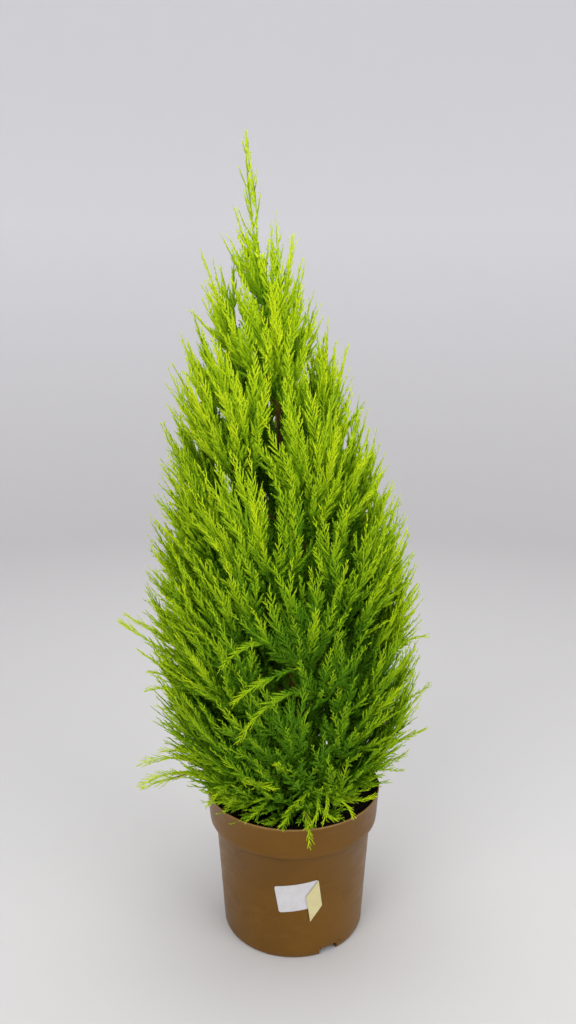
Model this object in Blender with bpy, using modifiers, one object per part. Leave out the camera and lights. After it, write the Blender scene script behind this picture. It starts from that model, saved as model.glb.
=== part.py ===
"""Lemon cypress in a nursery pot.

Blender units are metres, +Z is up, and the origin is the centre of the pot's flat underside.
The trunk rises from the potting soil, boughs leave it by the golden angle, and each bough ends in
a plume: one mass of foliage that keeps to the space nearer to its own line than to any other.
"""

import math
import random

import bmesh
import bpy
import numpy as np
from mathutils import Matrix, Vector

SEED = 20
CLEARANCE = 0.0003  # between pieces that touch on the real plant
GOLDEN_ANGLE = math.radians(137.508)
UP = Vector((0, 0, 1))

# Pot
POT_HEIGHT = 0.195
POT_WALL = 0.0016
POT_FLOOR = 0.0025
BASE_RADIUS = 0.0925
BASE_ROUND = 0.004
BODY_TOP_RADIUS = 0.1022
BAND_BOTTOM = 0.152
BAND_FOOT_RADIUS = 0.1098
RIM_RADIUS = 0.1135
POT_STEPS = 32
DRAIN_HOLES = 3
FIRST_DRAIN_DEG = -61
DRAIN_WIDTH = 0.026
DRAIN_HEIGHT = 0.010

# Soil
SOIL_TOP = 0.176
SOIL_GAP = 0.0006

# Label on the pot's front, and its folded end
LABEL_WIDTH = 0.055
LABEL_HEIGHT = 0.038
LABEL_CENTRE_Z = 0.0925
LABEL_CENTRE_DEG = -86.5
LABEL_TURN_DEG = 8.5
SHEET_THICKNESS = 0.0003
FLAP_WIDTH = 0.018
FLAP_DROP = 0.019
FLAP_STAND_OFF = 0.0012

# Trunk
TRUNK_TOP = 0.862
TREE_TOP = 1.003
LEAN = -0.055
LEAN_POWER = 2.2
BOW = 0.004
TRUNK_FOOT_RADIUS = 0.0088
TRUNK_TIP_RADIUS = 0.0013
FLARE = 0.0045
FLARE_HEIGHT = 0.028
FLARE_LOBES = 5
LOBE_SHARE = 0.35  # of the flare
TRUNK_SIDES = 8
TRUNK_RINGS = 14

# Crown: radius from the trunk's line at each height
CROWN_OUTLINE = (
    (0.180, 0.116),
    (0.200, 0.134),
    (0.242, 0.158),
    (0.285, 0.177),
    (0.330, 0.184),
    (0.470, 0.182),
    (0.530, 0.173),
    (0.600, 0.152),
    (0.680, 0.131),
    (0.740, 0.113),
    (0.800, 0.087),
    (0.870, 0.058),
    (0.900, 0.032),
    (0.954, 0.018),
    (1.003, 0.006),
)
CROWN_SWELL = 0.011  # further out on the left between these heights
SWELL_HEIGHTS = (0.60, 0.90)

# Lines: each is the way of a bough and its plume, from the trunk's middle to the plume's tip
PLUMES = 29
PLUMES_ON_BOUGHS = 24
LOWEST_TIP = 0.205
HIGHEST_TIP = 0.915
TOP_CROWDING = 0.08
FIRST_AZIMUTH = math.radians(-62)
AZIMUTH_JITTER = 0.10
LOWEST_ROOT = 0.202
RISE = (  # how far a tip at each height stands above its root
    (0.205, 0.004),
    (0.300, 0.080),
    (0.400, 0.150),
    (0.550, 0.205),
    (0.700, 0.205),
    (0.860, 0.165),
    (0.915, 0.105),
)
KNEE_OUT = 0.64
KNEE_UP = 0.38
LINE_SAMPLES = 48
STRAYS = (  # azimuth, tip height, reach, root height, knee out and up
    (math.radians(178), 0.424, 0.214, 0.315, 0.55, 0.45),
    (math.radians(188), 0.199, 0.200, 0.214, 0.55, -1.2),
    (math.radians(-82), 0.184, 0.134, 0.210, 0.68, -1.7),
    (math.radians(180), 0.868, 0.070, 0.690, 0.60, 0.40),
    (math.radians(-5), 0.886, 0.038, 0.745, 0.60, 0.40),
)

# Boughs and plumes
BOUGH_SHARE = 0.20
BOUGH_FOOT_RADIUS = 0.0012
BOUGH_SWELL = 0.012  # more radius for each metre of line
BOUGH_TAPER = 0.55
MOST_OF_TRUNK = 0.55  # a bough's radius at most, as a share of the trunk's
BOUGH_SIDES = 5
BOUGH_RINGS = 4
FULL_LENGTH = 0.20  # shorter lines bear smaller plumes
STEM_TEETH = 4
STEM_TOOTH_WIDTH = 0.038
STEM_NOTCH_SHARE = 0.42
STEM_THICKNESS = 0.013
STEM_ROOM = 0.44  # share of the way to the next line
STEM_REACH = 0.92  # share of the plume's length; the last spray goes on to the tip
SHOOTS = 6
FEWEST_SHOOTS = 4
FIRST_SHOOT = 0.06  # share of the plume's length
FIRST_SHOOT_BY_TRUNK = 0.22
LAST_SHOOT = 0.86
SHOOT_SPREAD_DEG = 44
TIP_SPREAD_DEG = 24
SPREAD_JITTER_DEG = 4
SPRAY_LENGTH = 0.118
TIP_SPRAY_LENGTH = 0.070
SPRAY_WIDTH = 0.50  # share of its length
SPRAY_THICKNESS = 0.12  # share of its length
SPRAY_TEETH = 2
FIRST_RIB, RIB_SPAN = 0.28, 0.62  # shares of the spray's length, as are the four below
FIRST_TOOTH, TOOTH_SPAN = 0.50, 0.56
TOOTH_LENGTH = 0.07
SPRAY_TAPER = 0.55
NOTCH_SHARE = 0.48  # of the tooth's width
SPRAY_TURN = 0.5  # how far the blades turn from facing straight out
SPRAY_TILT = 0.3  # and how far they turn up
SPRAY_SHRINKS = (1.0, 0.8, 0.62)  # tried in turn until the spray fits
TWIG_LENGTH = 0.034
TWIG_RADIUS = 0.0014
TWIG_SPRAY_SHARE = 0.8  # a spray on a twig, against one on the stem
SPRAY_SINK = 0.15  # share of the spray's length that is sunk in its twig
SIDE_BRANCH_SHARE = 0.4  # of the way along the twig
SIDE_BRANCH_ROLL = 1.2
CROWN_MARGIN = 0.006
TIP_ROOM = 0.030  # how far a spray may reach from its line where it leaves the crown's outline
SPACE_MARGIN = 0.0012
LIMB_MARGIN = 0.0012
POT_MARGIN = 0.0025

random_source = random.Random(SEED)


def start():
    for thing in list(bpy.data.objects):
        bpy.data.objects.remove(thing)


def material(name, colour, roughness, metallic=0.0):
    made = bpy.data.materials.new(name)
    made.use_nodes = True
    shader = made.node_tree.nodes["Principled BSDF"]
    shader.inputs["Base Color"].default_value = (*colour, 1.0)
    shader.inputs["Roughness"].default_value = roughness
    shader.inputs["Metallic"].default_value = metallic
    return made


def collection(name, hidden=False):
    made = bpy.data.collections.new(name)
    made.hide_render = hidden
    bpy.context.scene.collection.children.link(made)
    return made


def put(name, mesh, home, look=None):
    made = bpy.data.objects.new(name, mesh)
    home.objects.link(made)
    if look:
        mesh.materials.clear()
        mesh.materials.append(look)
    return made


def remove(thing):
    mesh = thing.data
    bpy.data.objects.remove(thing)
    bpy.data.meshes.remove(mesh)


def apply_modifiers(thing):
    """Gives the object its evaluated mesh, with no modifiers left."""
    bpy.context.view_layer.update()
    graph = bpy.context.evaluated_depsgraph_get()
    made = bpy.data.meshes.new_from_object(thing.evaluated_get(graph))
    old = thing.data
    thing.modifiers.clear()
    thing.data = made
    bpy.data.meshes.remove(old)


def boolean(thing, operation, other, solver="EXACT"):
    """Joins or cuts the object with another object, or with a whole collection."""
    modifier = thing.modifiers.new(operation.title(), "BOOLEAN")
    modifier.operation = operation
    modifier.solver = solver
    if isinstance(other, bpy.types.Collection):
        modifier.operand_type = "COLLECTION"
        modifier.collection = other
    else:
        modifier.object = other
    return modifier


# --- curves that the plant follows ---------------------------------------------------------------


def between(table, at):
    """Linear interpolation in a table of (position, value) pairs."""
    places, values = zip(*table)
    return float(np.interp(at, places, values))


def crown_radius(z, azimuth):
    """How far the crown reaches from the trunk's line, at a height and in a direction."""
    low, high = SWELL_HEIGHTS
    share = min(1.0, max(0.0, (z - low) / (high - low)))
    swell = CROWN_SWELL * math.sin(math.pi * share)
    return between(CROWN_OUTLINE, z) - swell * math.cos(azimuth)


def trunk_point(z):
    share = max(0.0, (z - SOIL_TOP) / (TREE_TOP - SOIL_TOP))
    return Vector(
        (
            LEAN * share**LEAN_POWER,
            BOW * math.sin(2 * math.pi * share),
            z,
        )
    )


def trunk_radius(z):
    share = (z - SOIL_TOP) / (TRUNK_TOP - SOIL_TOP)
    taper = TRUNK_FOOT_RADIUS + (TRUNK_TIP_RADIUS - TRUNK_FOOT_RADIUS) * share**0.8
    return taper + flare(z)


def flare(z):
    return FLARE * math.exp(-((z - SOIL_TOP) / FLARE_HEIGHT) ** 2 * 3)


def in_crown(point):
    across = Vector(point) - trunk_point(point[2])
    limit = crown_radius(point[2], math.atan2(across.y, across.x))
    return across.length < limit + CROWN_MARGIN


class Line:
    """An arch from the trunk's middle to a plume's tip."""

    def __init__(self, root, knee, tip):
        self.root, self.knee, self.tip = root, knee, tip
        self.samples = [self.at(i / LINE_SAMPLES) for i in range(LINE_SAMPLES + 1)]
        pairs = zip(self.samples, self.samples[1:])
        self.length = sum((b - a).length for a, b in pairs)

    def at(self, share):
        first = self.root.lerp(self.knee, share)
        second = self.knee.lerp(self.tip, share)
        return first.lerp(second, share)

    def heading(self, share):
        ahead, behind = min(1.0, share + 0.01), max(0.0, share - 0.01)
        return (self.at(ahead) - self.at(behind)).normalized()

    def outward(self):
        """The level direction in which the line leaves the trunk."""
        return ((self.tip - self.root) * Vector((1, 1, 0))).normalized()


def level(azimuth):
    return Vector((math.cos(azimuth), math.sin(azimuth), 0))


def tip_height(share):
    """The height with this share of the plumes' tips below it."""
    heights = np.linspace(LOWEST_TIP, HIGHEST_TIP, 60)
    crowding = np.cumsum([between(CROWN_OUTLINE, z) + TOP_CROWDING for z in heights])
    crowding -= crowding[0]
    return float(np.interp(share * crowding[-1], crowding, heights))


def arched(azimuth, tip_z, reach, root_z, knee_out=KNEE_OUT, knee_up=KNEE_UP):
    root = trunk_point(root_z)
    tip = trunk_point(tip_z) + level(azimuth) * reach
    flat = (tip - root) * Vector((1, 1, 0))
    knee = root + flat * knee_out + UP * (tip_z - root_z) * knee_up
    return Line(root, knee, tip)


def crown_line(index):
    """A line by the golden angle, with its tip on the crown's outline."""
    azimuth = FIRST_AZIMUTH + index * GOLDEN_ANGLE
    azimuth += random_source.uniform(-AZIMUTH_JITTER, AZIMUTH_JITTER)
    tip_z = tip_height(index / (PLUMES - 1))
    reach = crown_radius(tip_z, azimuth) * random_source.uniform(0.94, 1.0)
    root_z = max(LOWEST_ROOT, tip_z - between(RISE, tip_z))
    return arched(azimuth, tip_z, reach, root_z)


def crown_lines():
    """Every line of the crown, lowest first, with each stray in the place of its neighbour."""
    lines = [crown_line(index) for index in range(PLUMES)]
    for stray in STRAYS:
        line = arched(*stray)
        gaps = [(other.tip - line.tip).length for other in lines]
        lines[gaps.index(min(gaps))] = line
    return lines


def leader_line():
    """The leader goes on from the trunk's tip, along the trunk's own line."""
    root = trunk_point(TRUNK_TOP + CLEARANCE)
    tip = trunk_point(TREE_TOP)
    return Line(root, root.lerp(tip, 0.5), tip)


# --- solids --------------------------------------------------------------------------------------


def square_to(heading):
    """Two directions square to a heading and to each other."""
    side = heading.cross(UP if abs(heading.z) < 0.95 else Vector((1, 0, 0))).normalized()
    return side, heading.cross(side).normalized()


def loft(name, centres, radii, sides, lobes=None):
    """A closed tube through rings of a given centre and radius, each square to the tube."""
    shape = bmesh.new()
    rings = []
    for i, centre in enumerate(centres):
        before = centres[max(0, i - 1)]
        after = centres[min(len(centres) - 1, i + 1)]
        side, other = square_to((after - before).normalized())
        ring = []
        for k in range(sides):
            angle = 2 * math.pi * k / sides
            radius = radii[i] * (1 + (lobes(i, angle) if lobes else 0))
            offset = side * math.cos(angle) + other * math.sin(angle)
            ring.append(shape.verts.new(centre + offset * radius))
        rings.append(ring)
    for low, high in zip(rings, rings[1:]):
        for k in range(sides):
            m = (k + 1) % sides
            shape.faces.new((low[k], low[m], high[m], high[k]))
    shape.faces.new(list(reversed(rings[0])))
    shape.faces.new(rings[-1])
    bmesh.ops.recalc_face_normals(shape, faces=shape.faces)
    mesh = bpy.data.meshes.new(name)
    shape.to_mesh(mesh)
    shape.free()
    return mesh


def turned(name, profile, steps, home, look):
    """A solid turned round Z from a profile of (radius, height) points that ends on the axis."""
    mesh = bpy.data.meshes.new(name)
    points = [(radius, 0, z) for radius, z in profile]
    edges = [(i, i + 1) for i in range(len(points) - 1)]
    mesh.from_pydata(points, edges, [])
    made = put(name, mesh, home, look)
    screw = made.modifiers.new("Turn", "SCREW")
    screw.steps = screw.render_steps = steps
    screw.use_merge_vertices = True
    screw.merge_threshold = 0.00005
    screw.use_normal_calculate = True
    apply_modifiers(made)
    face_outwards(made.data)
    made.data.shade_smooth()
    made.data.set_sharp_from_angle(angle=math.radians(35))
    return made


def face_outwards(mesh):
    shape = bmesh.new()
    shape.from_mesh(mesh)
    bmesh.ops.remove_doubles(shape, verts=shape.verts, dist=0.00002)
    bmesh.ops.recalc_face_normals(shape, faces=shape.faces)
    shape.to_mesh(mesh)
    shape.free()


def box(name, size, place, turn, home):
    shape = bmesh.new()
    bmesh.ops.create_cube(shape, size=1.0)
    bmesh.ops.scale(shape, vec=size, verts=shape.verts)
    mesh = bpy.data.meshes.new(name)
    shape.to_mesh(mesh)
    shape.free()
    made = put(name, mesh, home)
    made.location = place
    made.rotation_euler = (0, 0, turn)
    made.display_type = "WIRE"
    made.hide_render = True
    return made


# --- pot, soil and label -------------------------------------------------------------------------


def wall_radius(z):
    """The pot's outer radius on its body, below the band."""
    return BASE_RADIUS + (BODY_TOP_RADIUS - BASE_RADIUS) * z / BAND_BOTTOM


def make_pot(home, cutters, look):
    corner = 0.3 * BASE_ROUND
    inside = BAND_BOTTOM + POT_WALL
    profile = [
        (0, POT_FLOOR),
        (BASE_RADIUS - POT_WALL - BASE_ROUND, POT_FLOOR),
        (wall_radius(BASE_ROUND + POT_FLOOR) - POT_WALL, BASE_ROUND + POT_FLOOR),
        (BODY_TOP_RADIUS - POT_WALL, BAND_BOTTOM),
        (BAND_FOOT_RADIUS - POT_WALL, inside),
        (RIM_RADIUS - POT_WALL, POT_HEIGHT - 0.001),
        (RIM_RADIUS - 0.5 * POT_WALL, POT_HEIGHT),
        (RIM_RADIUS, POT_HEIGHT - 0.001),
        (BAND_FOOT_RADIUS, BAND_BOTTOM),
        (BODY_TOP_RADIUS, BAND_BOTTOM - 0.002),
        (wall_radius(BASE_ROUND), BASE_ROUND),
        (BASE_RADIUS - corner, corner),
        (BASE_RADIUS - BASE_ROUND, 0),
        (0, 0),
    ]
    pot = turned("pot", profile, POT_STEPS, home, look)
    for k in range(DRAIN_HOLES):
        azimuth = math.radians(FIRST_DRAIN_DEG + 360 * k / DRAIN_HOLES)
        place = level(azimuth) * (BASE_RADIUS - 0.002)
        size = (0.020, DRAIN_WIDTH, 2 * DRAIN_HEIGHT)
        cutter = box(f"drain_{k}", size, place, azimuth, cutters)
        boolean(pot, "DIFFERENCE", cutter)
    return pot


def make_soil(home, look):
    gap = POT_WALL + SOIL_GAP
    floor = POT_FLOOR + SOIL_GAP
    slope = (RIM_RADIUS - BAND_FOOT_RADIUS) / (POT_HEIGHT - BAND_BOTTOM)
    shoulder = BAND_BOTTOM + SOIL_GAP
    edge = BAND_FOOT_RADIUS + slope * (SOIL_TOP - BAND_BOTTOM) - gap - 0.0006
    profile = [
        (0, floor),
        (BASE_RADIUS - POT_WALL - BASE_ROUND - 0.012, floor),
        (wall_radius(0.02) - gap, 0.020),
        (BODY_TOP_RADIUS - gap - 0.0004, shoulder),
        (BAND_FOOT_RADIUS - gap - 0.0006, shoulder + POT_WALL),
        (edge, SOIL_TOP - 0.003),
        (edge - 0.020, SOIL_TOP),
        (0, SOIL_TOP),
    ]
    return turned("soil", profile, POT_STEPS, home, look)


def on_wall(across, up, stand_off):
    """A point on the pot's front, from metres across and up from the label's middle."""
    turn = math.radians(LABEL_TURN_DEG)
    along = across * math.cos(turn) - up * math.sin(turn)
    z = LABEL_CENTRE_Z + across * math.sin(turn) + up * math.cos(turn)
    azimuth = math.radians(LABEL_CENTRE_DEG) + along / wall_radius(LABEL_CENTRE_Z)
    return level(azimuth) * (wall_radius(z) + stand_off) + UP * z


def wall_sheet(name, corner, columns, home, look):
    """A thin sheet that follows the pot's wall; corner(u, v) gives its point for 0 to 1."""
    shape = bmesh.new()
    grid = [
        [shape.verts.new(corner(i / columns, v)) for v in (0, 1)]
        for i in range(columns + 1)
    ]
    for left, right in zip(grid, grid[1:]):
        shape.faces.new((left[0], right[0], right[1], left[1]))
    mesh = bpy.data.meshes.new(name)
    shape.to_mesh(mesh)
    shape.free()
    made = put(name, mesh, home, look)
    solid = made.modifiers.new("Thickness", "SOLIDIFY")
    solid.thickness = SHEET_THICKNESS
    solid.offset = 1
    return made


def make_label(home, look, flap_look):
    def label_point(u, v):
        across = (u - 0.5) * LABEL_WIDTH
        return on_wall(across, (v - 0.5) * LABEL_HEIGHT, 2 * CLEARANCE)

    def flap_point(u, v):
        across = 0.5 * LABEL_WIDTH - (1 - u) * FLAP_WIDTH
        up = (v - 0.5) * LABEL_HEIGHT - (1 - u) * FLAP_DROP
        return on_wall(across, up, 2 * CLEARANCE + FLAP_STAND_OFF)

    wall_sheet("label", label_point, 6, home, look)
    wall_sheet("label_flap", flap_point, 3, home, flap_look)


# --- trunk and boughs ----------------------------------------------------------------------------


def trunk_mesh(name, extra, foot):
    heights = [
        foot + (TRUNK_TOP - foot) * (i / TRUNK_RINGS) ** 1.5
        for i in range(TRUNK_RINGS + 1)
    ]
    if extra:  # the clearance cutter runs past both ends
        heights = [foot - 0.01, *heights, TRUNK_TOP + CLEARANCE]
    centres = [trunk_point(z) for z in heights]
    radii = [trunk_radius(max(SOIL_TOP, z)) + extra for z in heights]

    def lobes(i, angle):
        share = flare(max(SOIL_TOP, heights[i])) / radii[i]
        return LOBE_SHARE * share * math.cos(FLARE_LOBES * angle)

    return loft(name, centres, radii, TRUNK_SIDES, lobes)


def level_foot(mesh, z):
    """Sets the lowest ring of a trunk flat at ground level."""
    for vertex in mesh.vertices[:TRUNK_SIDES]:
        vertex.co.z = z


def make_trunk(home, cutters, look):
    foot = SOIL_TOP + CLEARANCE
    mesh = trunk_mesh("trunk", 0.0, foot)
    level_foot(mesh, foot)
    put("trunk", mesh, home, look)
    room = put("trunk_room", trunk_mesh("trunk_room", CLEARANCE, foot), cutters)
    room.display_type = "WIRE"
    room.hide_render = True
    return room


def bough_radius(line, share):
    """A bough's taper: thicker on long lines, thin where it enters its plume."""
    foot = BOUGH_FOOT_RADIUS + BOUGH_SWELL * line.length
    foot = min(foot, MOST_OF_TRUNK * trunk_radius(line.root.z))
    return foot * (1 - BOUGH_TAPER * share / BOUGH_SHARE)


def make_bough(name, line, room, home, look):
    shares = [BOUGH_SHARE * i / (BOUGH_RINGS - 1) for i in range(BOUGH_RINGS)]
    centres = [line.at(share) for share in shares]
    radii = [bough_radius(line, share) for share in shares]
    bough = put(name, loft(name, centres, radii, BOUGH_SIDES), home, look)
    boolean(bough, "DIFFERENCE", room)
    apply_modifiers(bough)
    return bough


# --- plumes --------------------------------------------------------------------------------------


class Space:
    """The room that each plume keeps to, and the limbs and pot that it stays clear of."""

    def __init__(self, lines):
        self.lines = lines
        self.samples = np.array([[tuple(p) for p in line.samples] for line in lines])
        heights = np.linspace(SOIL_TOP, TRUNK_TOP, 60)
        self.trunk = np.array([tuple(trunk_point(z)) for z in heights])
        self.trunk_radii = np.array([trunk_radius(z) for z in heights])

    def to_lines(self, points):
        """Distance from each point to each line."""
        gaps = points[:, None, None, :] - self.samples[None]
        return np.sqrt((gaps**2).sum(axis=3)).min(axis=2)

    def to_others(self, point, own):
        gaps = self.to_lines(np.array([tuple(point)]))[0]
        return float(np.delete(gaps, own).min())

    def from_trunk(self, points):
        """Distance from each point to the trunk's surface."""
        gaps = np.sqrt(((points[:, None, :] - self.trunk[None]) ** 2).sum(axis=2))
        return (gaps - self.trunk_radii).min(axis=1)

    def holds(self, points, own):
        """True if the points are nearest to their own line, in the crown, and clear of the rest."""
        points = np.array([tuple(p) for p in points])
        gaps = self.to_lines(points)
        mine = gaps[:, own]
        others = np.delete(gaps, own, axis=1).min(axis=1)
        if (mine + 2 * SPACE_MARGIN > others).any():
            return False
        if (self.from_trunk(points) < LIMB_MARGIN).any() or points[:, 2].max() > TREE_TOP:
            return False
        if any(gap > TIP_ROOM and not in_crown(p) for p, gap in zip(points, mine)):
            return False
        return all(self.clear_of_pot(p) for p in points) and self.off_bough(points, own)

    def off_bough(self, points, own):
        line = self.lines[own]
        shares = np.linspace(0, BOUGH_SHARE, 12)
        places = np.array([tuple(line.at(s)) for s in shares])
        gaps = np.sqrt(((points[:, None, :] - places[None]) ** 2).sum(axis=2))
        return bool((gaps.min(axis=1) > bough_radius(line, 0) + LIMB_MARGIN).all())

    @staticmethod
    def clear_of_pot(point):
        across = math.hypot(point[0], point[1])
        if across > RIM_RADIUS + POT_MARGIN:
            return point[2] > POT_HEIGHT - 0.030
        if across < RIM_RADIUS - POT_WALL - POT_MARGIN:
            return point[2] > SOIL_TOP + POT_MARGIN
        return point[2] > POT_HEIGHT + POT_MARGIN


def spray_mesh():
    """A toothed blade one metre long: raised along its rib, with forward teeth on both sides."""
    shape = bmesh.new()
    half_width, half_thickness = SPRAY_WIDTH / 2, SPRAY_THICKNESS / 2
    root = shape.verts.new((0, 0, 0))
    tip = shape.verts.new((1, 0, 0))
    ribs = []
    for i in range(SPRAY_TEETH):
        along = FIRST_RIB + RIB_SPAN * i / SPRAY_TEETH
        ribs.append([shape.verts.new((along, 0, half_thickness * up)) for up in (1, -1)])
    for side in (1, -1):
        edge = [root]
        for i in range(SPRAY_TEETH):
            share = i / SPRAY_TEETH
            width = side * half_width * (1 - SPRAY_TAPER * share)
            tooth = FIRST_TOOTH + TOOTH_SPAN * share
            edge.append(shape.verts.new((tooth, width, 0)))
            edge.append(shape.verts.new((tooth - TOOTH_LENGTH, NOTCH_SHARE * width, 0)))
        edge.append(tip)
        for face in (0, 1):
            for i, rib in enumerate(ribs):
                tooth = 1 + 2 * i
                shape.faces.new((rib[face], edge[tooth - 1], edge[tooth]))
                shape.faces.new((rib[face], edge[tooth], edge[tooth + 1]))
                if i + 1 < SPRAY_TEETH:
                    shape.faces.new((rib[face], edge[tooth + 1], ribs[i + 1][face]))
            shape.faces.new((ribs[-1][face], edge[-2], tip))
    bmesh.ops.recalc_face_normals(shape, faces=shape.faces)
    mesh = bpy.data.meshes.new("spray")
    shape.to_mesh(mesh)
    shape.free()
    return mesh


def placed(root, heading, face, length):
    """The matrix that lays the one-metre blade from root along heading, its flat side to face."""
    across = heading.cross(face).normalized()
    normal = across.cross(heading).normalized()
    turn = Matrix((heading, -across, normal)).transposed().to_4x4()
    return Matrix.Translation(root) @ turn @ Matrix.Scale(length, 4)


def outline_points(mesh, matrix):
    """Where the corners of a mesh and the middles of its edges come to lie."""
    corners = [vertex.co for vertex in mesh.vertices]
    middles = [(corners[a] + corners[b]) / 2 for a, b in (e.vertices for e in mesh.edges)]
    return [matrix @ point for point in corners + middles]


class Plume:
    """One mass of foliage: a toothed stem, and the twigs and sprays that leave it in turn."""

    def __init__(self, index, line, space, spray, on_bough):
        self.index, self.line, self.space, self.spray = index, line, space, spray
        self.start = BOUGH_SHARE if on_bough else 0.0
        self.first_shoot = FIRST_SHOOT if on_bough else FIRST_SHOOT_BY_TRUNK
        self.fullness = min(1.0, line.length / FULL_LENGTH)
        self.parts = collection(f"parts_of_{index}", hidden=True)

    def share(self, along):
        """The share of the whole line at a share of the plume's own length."""
        return self.start + (1 - self.start) * along

    def keep(self, mesh, matrix=Matrix()):
        made = put(f"part_{self.index}_{len(self.parts.objects)}", mesh, self.parts)
        made.matrix_world = matrix

    def add_spray(self, root, heading, length):
        """Adds a spray if it fits in the space, shorter if it must be."""
        turn = SPRAY_TURN if len(self.parts.objects) % 2 else -SPRAY_TURN
        outward = self.line.outward()
        face = (outward + UP * SPRAY_TILT + UP.cross(outward) * turn).normalized()
        for shrink in SPRAY_SHRINKS:
            matrix = placed(root, heading, face, length * shrink)
            if self.space.holds(outline_points(self.spray, matrix), self.index):
                self.keep(self.spray.copy(), matrix)
                return

    def add_twig(self, root, heading, length):
        """Adds a twig if it fits in the space, and returns its tip."""
        tip = root + heading * length
        if not self.space.holds([root.lerp(tip, 0.6), tip], self.index):
            return None
        self.keep(loft("twig", [root, tip], [TWIG_RADIUS, 0.5 * TWIG_RADIUS], 3))
        return tip

    def sideways(self, share, roll, spread):
        """A heading that leaves the line at the spread angle, rolled round it."""
        ahead = self.line.heading(share)
        side, other = square_to(ahead)
        off = side * math.cos(roll) + other * math.sin(roll)
        return (ahead * math.cos(spread) + off * math.sin(spread)).normalized()

    def grow(self):
        shoots = max(FEWEST_SHOOTS, round(SHOOTS * self.fullness))
        for k in range(shoots):
            along = self.first_shoot + (LAST_SHOOT - self.first_shoot) * k / (shoots - 1)
            spread = SHOOT_SPREAD_DEG + (TIP_SPREAD_DEG - SHOOT_SPREAD_DEG) * along
            spread = math.radians(spread + random_source.uniform(-1, 1) * SPREAD_JITTER_DEG)
            roll = k * GOLDEN_ANGLE + self.index
            self.grow_shoot(along, roll, spread, bears_twig=k % 3 == 1)
        self.add_tip()

    def grow_shoot(self, along, roll, spread, bears_twig):
        """A spray straight off the stem, or a twig with a spray at its end and one on its side."""
        share = self.share(along)
        root = self.line.at(share)
        heading = self.sideways(share, roll, spread)
        size = SPRAY_LENGTH + (TIP_SPRAY_LENGTH - SPRAY_LENGTH) * along
        size *= self.fullness
        tip = bears_twig and self.add_twig(root, heading, TWIG_LENGTH * self.fullness)
        if not tip:
            self.add_spray(root, heading, size)
            return
        onward = (heading + 0.5 * self.line.heading(share)).normalized()
        size *= TWIG_SPRAY_SHARE
        self.add_spray(tip - SPRAY_SINK * size * onward, onward, size)
        branch = self.sideways(share, roll + SIDE_BRANCH_ROLL, spread)
        self.add_spray(root.lerp(tip, SIDE_BRANCH_SHARE), branch, size)

    def add_tip(self):
        """The end of the stem is a spray that reaches the line's tip."""
        heading = self.line.heading(1.0)
        length = TIP_SPRAY_LENGTH * self.fullness
        root = self.line.tip - heading * length
        self.keep(self.spray.copy(), placed(root, heading, self.line.outward(), length))

    def stem(self):
        """The stem as a flat spindle with forward teeth, thin enough to keep to its space."""
        foot = bough_radius(self.line, BOUGH_SHARE)
        stations = [0.0]
        for i in range(STEM_TEETH):
            stations += [(i + 0.78) / STEM_TEETH, (i + 0.98) / STEM_TEETH]
        centres, widths, depths = [], [], []
        for i, along in enumerate(stations):
            along *= STEM_REACH
            place = self.line.at(self.share(along))
            width = STEM_TOOTH_WIDTH * self.fullness * math.sin(math.pi * along**0.6) ** 0.7
            if i % 2 == 0:
                width *= STEM_NOTCH_SHARE
            width = min(width, self.room_at(place))
            taper = foot * (1 - 0.7 * along)
            centres.append(place)
            widths.append(max(taper, width))
            depths.append(max(taper, min(0.6 * width, STEM_THICKNESS * self.fullness)))
        if self.start:
            centres[0] = centres[0] + self.line.heading(self.share(0)) * CLEARANCE

        def lobes(i, angle):
            return depths[i] / widths[i] - 1 if abs(math.sin(angle)) > 0.5 else 0.0

        return loft("stem", centres, widths, 4, lobes)

    def room_at(self, place):
        """How wide the stem may be there."""
        beside = STEM_ROOM * self.space.to_others(place, self.index) - SPACE_MARGIN
        to_trunk = self.space.from_trunk(np.array([tuple(place)]))[0] - 0.002
        if not self.space.clear_of_pot(place - UP * STEM_THICKNESS):
            return 0.0
        return max(0.0, float(min(beside, to_trunk)))


def largest_part(mesh):
    """Drops loose scraps, and the walls of any hollow that was sealed."""
    shape = bmesh.new()
    shape.from_mesh(mesh)
    groups, seen = [], set()
    for start_vertex in shape.verts:
        if start_vertex in seen:
            continue
        group, queue = [], [start_vertex]
        seen.add(start_vertex)
        while queue:
            vertex = queue.pop()
            group.append(vertex)
            for edge in vertex.link_edges:
                other = edge.other_vert(vertex)
                if other not in seen:
                    seen.add(other)
                    queue.append(other)
        groups.append(group)
    groups.sort(key=len)
    for group in groups[:-1]:
        bmesh.ops.delete(shape, geom=group, context="VERTS")
    shape.to_mesh(mesh)
    shape.free()


def make_plume(name, plume, room, home, look):
    plume.grow()
    mass = put(name, plume.stem(), home, look)
    if not plume.start:
        boolean(mass, "DIFFERENCE", room)
    boolean(mass, "UNION", plume.parts, "MANIFOLD")
    apply_modifiers(mass)
    largest_part(mass.data)
    for part in list(plume.parts.objects):
        remove(part)
    bpy.data.collections.remove(plume.parts)


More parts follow.
